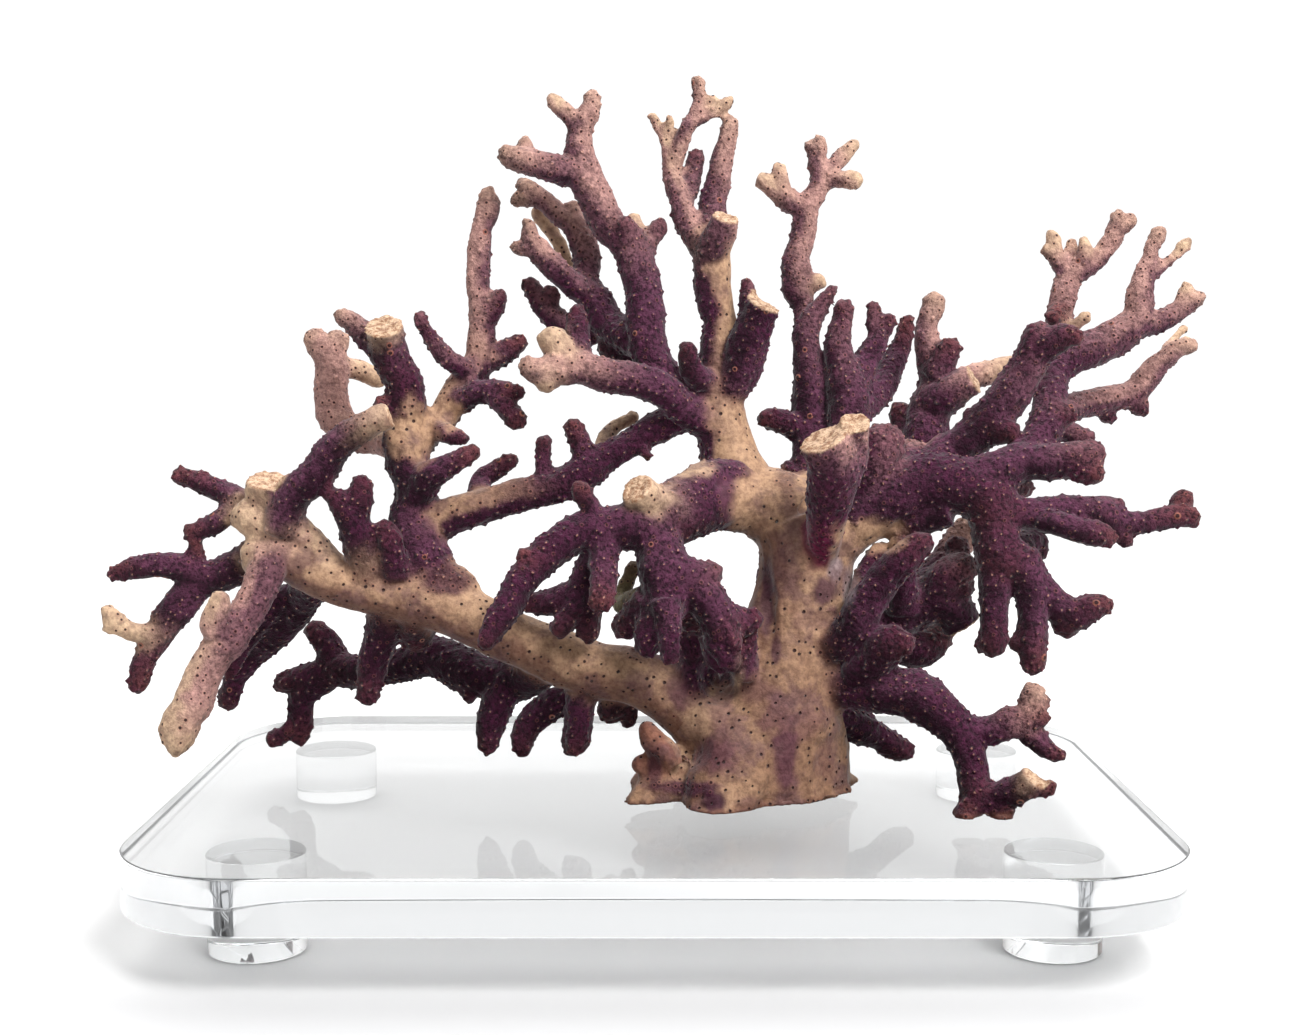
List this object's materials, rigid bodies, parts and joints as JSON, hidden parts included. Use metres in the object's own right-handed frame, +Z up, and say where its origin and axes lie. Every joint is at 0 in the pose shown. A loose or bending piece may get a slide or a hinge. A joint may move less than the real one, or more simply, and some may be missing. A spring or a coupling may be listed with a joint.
{
  "type": "branching coral on a stand",
  "caption": "Dried branching coral, purple and tan, cut flat at its foot and resting on a clear acrylic slab with four round feet.",
  "frame": {"origin": "centre of the object's box, on the surface that the stand's feet rest on", "axes": "+X to the right and +Z up as seen from the front, +Y to the back"},
  "size_m": [0.2757, 0.17, 0.2026],
  "materials": {
    "clear_acrylic": "clear polished acrylic",
    "coral_tan": "smooth dry coral with small dark pores",
    "coral_purple": "rough dry coral with close warts",
    "coral_pink": "rough dry coral, paler towards the tips"
  },
  "bodies": {
    "root": {"back_branch_1": "coral_purple", "back_branch_2": "coral_purple", "back_branch_3": "coral_purple", "back_branch_4": "coral_purple", "back_branch_5": "coral_purple", "base_plate": "clear_acrylic", "centre_stem": "coral_tan", "far_left_branch": "coral_purple", "far_left_pale_branch": "coral_pink", "far_right_back_branch": "coral_pink", "far_right_branch": "coral_pink", "foot_back_left": "clear_acrylic", "foot_back_right": "clear_acrylic", "foot_front_left": "clear_acrylic", "foot_front_right": "clear_acrylic", "front_arm": "coral_purple", "front_finger": "coral_purple", "front_hand": "coral_purple", "front_stump": "coral_purple", "inner_left_branch": "coral_tan", "inner_right_branch": "coral_purple", "inner_stem": "coral_purple", "left_back_branch": "coral_purple", "left_limb": "coral_tan", "left_stem": "coral_purple", "left_stem_fork": "coral_purple", "left_stem_side": "coral_pink", "lower_left_branch": "coral_purple", "lower_right_branch": "coral_purple", "middle_left_branch": "coral_purple", "middle_stem": "coral_purple", "right_hanging_branch": "coral_purple", "right_limb": "coral_purple", "right_lower_branch": "coral_purple", "right_pale_branch": "coral_pink", "right_pink_branch": "coral_pink", "right_stem": "coral_purple", "trunk": "coral_tan", "upper_left_branch": "coral_purple", "upper_left_fork": "coral_pink", "upper_right_branch": "coral_purple"}
  },
  "joints": []
}
